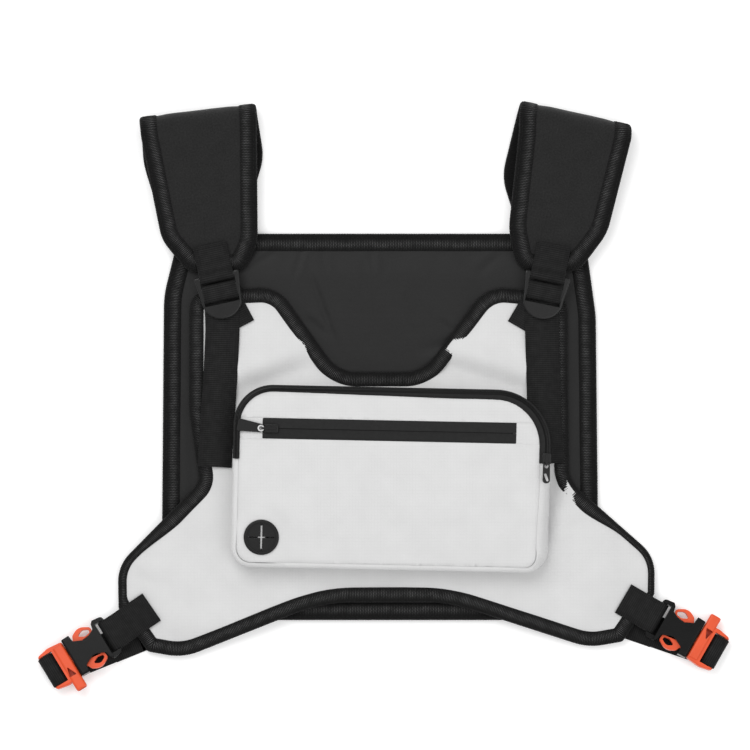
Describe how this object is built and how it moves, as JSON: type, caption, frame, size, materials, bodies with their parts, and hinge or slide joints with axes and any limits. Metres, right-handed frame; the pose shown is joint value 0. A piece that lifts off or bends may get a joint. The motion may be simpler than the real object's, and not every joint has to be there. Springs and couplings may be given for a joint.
{
  "type": "chest pack vest",
  "caption": "Chest pack vest lying flat: padded back and front panels, zipped chest pocket, folded shoulder pads with ladder locks, and side straps with whistle buckles.",
  "frame": {"origin": "centre of the back panel's rear face, which rests on the ground", "axes": "+Z out of the chest, +Y towards the shoulders, +X to the wearer's left"},
  "size_m": [0.5259, 0.4491, 0.0398],
  "materials": {
    "black_nylon": "satin woven nylon",
    "grosgrain": "ribbed binding tape",
    "air_mesh": "open spacer mesh",
    "foam": "closed-cell foam sheet",
    "white_ripstop": "matte coated ripstop",
    "pocket_lining": "thin plain-weave lining",
    "zip_tape": "smooth coated zip tape",
    "zip_coil": "moulded coil",
    "zip_metal": "black lacquered die-cast",
    "zip_ring": "bright plated",
    "zip_pull": "soft moulded",
    "port_rubber": "matte",
    "pad_fabric": "matte brushed oxford weave",
    "webbing": "ribbed woven nylon",
    "lock_plastic": "moulded acetal",
    "black_plastic": "moulded acetal",
    "orange_plastic": "moulded acetal"
  },
  "bodies": {
    "back": {"back_lining": "air_mesh", "back_foam": "foam", "back_shell": "black_nylon", "back_binding": "grosgrain", "pad_rear_left": "pad_fabric", "pad_fold_left": "pad_fabric", "side_strap_left": "webbing", "pad_rear_right": "pad_fabric", "pad_fold_right": "pad_fabric", "side_strap_right": "webbing"},
    "front": {"front_lining": "black_nylon", "front_foam": "foam", "front_shell": "white_ripstop", "neck_binding": "grosgrain", "hem_binding": "grosgrain", "side_binding_left": "grosgrain", "side_binding_right": "grosgrain", "pocket_gusset": "white_ripstop", "pocket_divider": "pocket_lining", "main_zip_tape": "zip_tape", "main_zip_coil": "zip_coil", "pocket_piping": "white_ripstop", "pocket_face_upper": "white_ripstop", "pocket_face_lower": "white_ripstop", "front_zip_tape": "zip_tape", "front_zip_coil": "zip_coil", "front_zip_stops": "zip_metal", "cable_port": "port_rubber", "pad_front_left": "pad_fabric", "pad_loop_left": "webbing", "shoulder_strap_left": "webbing", "strap_tail_left": "webbing", "wing_loop_left": "webbing", "pad_front_right": "pad_fabric", "pad_loop_right": "webbing", "shoulder_strap_right": "webbing", "strap_tail_right": "webbing", "wing_loop_right": "webbing"},
    "front_slider": {"front_zip_slider": "zip_metal"},
    "front_pull": {"front_zip_ring": "zip_ring", "front_zip_pull": "zip_pull"},
    "main_slider": {"main_zip_slider": "zip_metal"},
    "main_pull": {"main_zip_pull": "zip_pull"},
    "lock_left": {"ladder_lock_left": "lock_plastic"},
    "female_left": {"female_buckle_left": "black_plastic"},
    "male_left": {"male_buckle_left": "orange_plastic", "strap_loop_left": "webbing"},
    "prong_left_a": {"prong_left_a": "orange_plastic"},
    "prong_left_b": {"prong_left_b": "orange_plastic"},
    "lock_right": {"ladder_lock_right": "lock_plastic"},
    "female_right": {"female_buckle_right": "black_plastic"},
    "male_right": {"male_buckle_right": "orange_plastic", "strap_loop_right": "webbing"},
    "prong_right_a": {"prong_right_a": "orange_plastic"},
    "prong_right_b": {"prong_right_b": "orange_plastic"}
  },
  "joints": [
    {"name": "front_fold", "type": "hinge", "parent": "back", "child": "front", "pos_m": [0, 0.23, 0.011], "axis": [-1, 0, 0], "range_deg": [0, 12], "deforming": ["pad_fold_left", "pad_fold_right", "side_strap_left", "side_strap_right"]},
    {"name": "front_zip_slide", "type": "slide", "parent": "front", "child": "front_slider", "axis": [0.9998, -0.0209, 0], "range_m": [0, 0.178]},
    {"name": "front_pull_swing", "type": "hinge", "parent": "front_slider", "child": "front_pull", "pos_m": [-0.08862, -0.00077, 0.038], "axis": [0.0209, 0.9998, 0], "range_deg": [0, 100]},
    {"name": "main_zip_slide", "type": "slide", "parent": "front", "child": "main_slider", "axis": [0.0209, 0.9998, 0], "range_m": [0, 0.012]},
    {"name": "main_pull_swing", "type": "hinge", "parent": "main_slider", "child": "main_pull", "pos_m": [0.12576, -0.02766, 0.038], "axis": [-0.9998, 0.0209, 0], "range_deg": [0, 100]},
    {"name": "lock_left_tilt", "type": "hinge", "parent": "front", "child": "lock_left", "pos_m": [-0.1244, 0.1138, 0.0192], "axis": [-0.9763, -0.2164, 0], "range_deg": [0, 30], "deforming": ["shoulder_strap_left", "strap_tail_left"]},
    {"name": "lock_right_tilt", "type": "hinge", "parent": "front", "child": "lock_right", "pos_m": [0.1268, 0.1136, 0.0192], "axis": [-0.9799, 0.1994, 0], "range_deg": [0, 30], "deforming": ["shoulder_strap_right", "strap_tail_right"]},
    {"name": "buckle_left_swivel", "type": "hinge", "parent": "front", "child": "female_left", "pos_m": [-0.20615, -0.15874, 0.0094], "axis": [-0.5174, 0.8443, -0.1392], "range_deg": [0, 35]},
    {"name": "buckle_left_release", "type": "slide", "parent": "female_left", "child": "male_left", "axis": [-0.8526, -0.5225, 0], "range_m": [0, 0.032], "deforming": ["prong_left_a", "prong_left_b"]},
    {"name": "prong_left_a_squeeze", "type": "hinge", "parent": "male_left", "child": "prong_left_a", "pos_m": [-0.22898, -0.1833, 0.01067], "axis": [-0.0727, 0.1187, 0.9903], "range_deg": [0, 8], "stiffness_Nm_per_rad": 0.6},
    {"name": "prong_left_b_squeeze", "type": "hinge", "parent": "male_left", "child": "prong_left_b", "pos_m": [-0.2384, -0.16794, 0.00813], "axis": [0.0727, -0.1187, -0.9903], "range_deg": [0, 8], "stiffness_Nm_per_rad": 0.6},
    {"name": "buckle_right_swivel", "type": "hinge", "parent": "front", "child": "female_right", "pos_m": [0.2103, -0.1455, 0.0094], "axis": [-0.4951, -0.8576, 0.1392], "range_deg": [0, 35]},
    {"name": "buckle_right_release", "type": "slide", "parent": "female_right", "child": "male_right", "axis": [0.866, -0.5, 0], "range_m": [0, 0.032], "deforming": ["prong_right_a", "prong_right_b"]},
    {"name": "prong_right_a_squeeze", "type": "hinge", "parent": "male_right", "child": "prong_right_a", "pos_m": [0.24278, -0.15385, 0.00813], "axis": [0.0696, 0.1205, 0.9903], "range_deg": [0, 8], "stiffness_Nm_per_rad": 0.6},
    {"name": "prong_right_b_squeeze", "type": "hinge", "parent": "male_right", "child": "prong_right_b", "pos_m": [0.23377, -0.16945, 0.01067], "axis": [-0.0696, -0.1205, -0.9903], "range_deg": [0, 8], "stiffness_Nm_per_rad": 0.6}
  ],
  "couplings": [
    {"joint": "prong_left_b_squeeze", "follows": "prong_left_a_squeeze", "ratio": 1},
    {"joint": "prong_right_b_squeeze", "follows": "prong_right_a_squeeze", "ratio": 1}
  ]
}
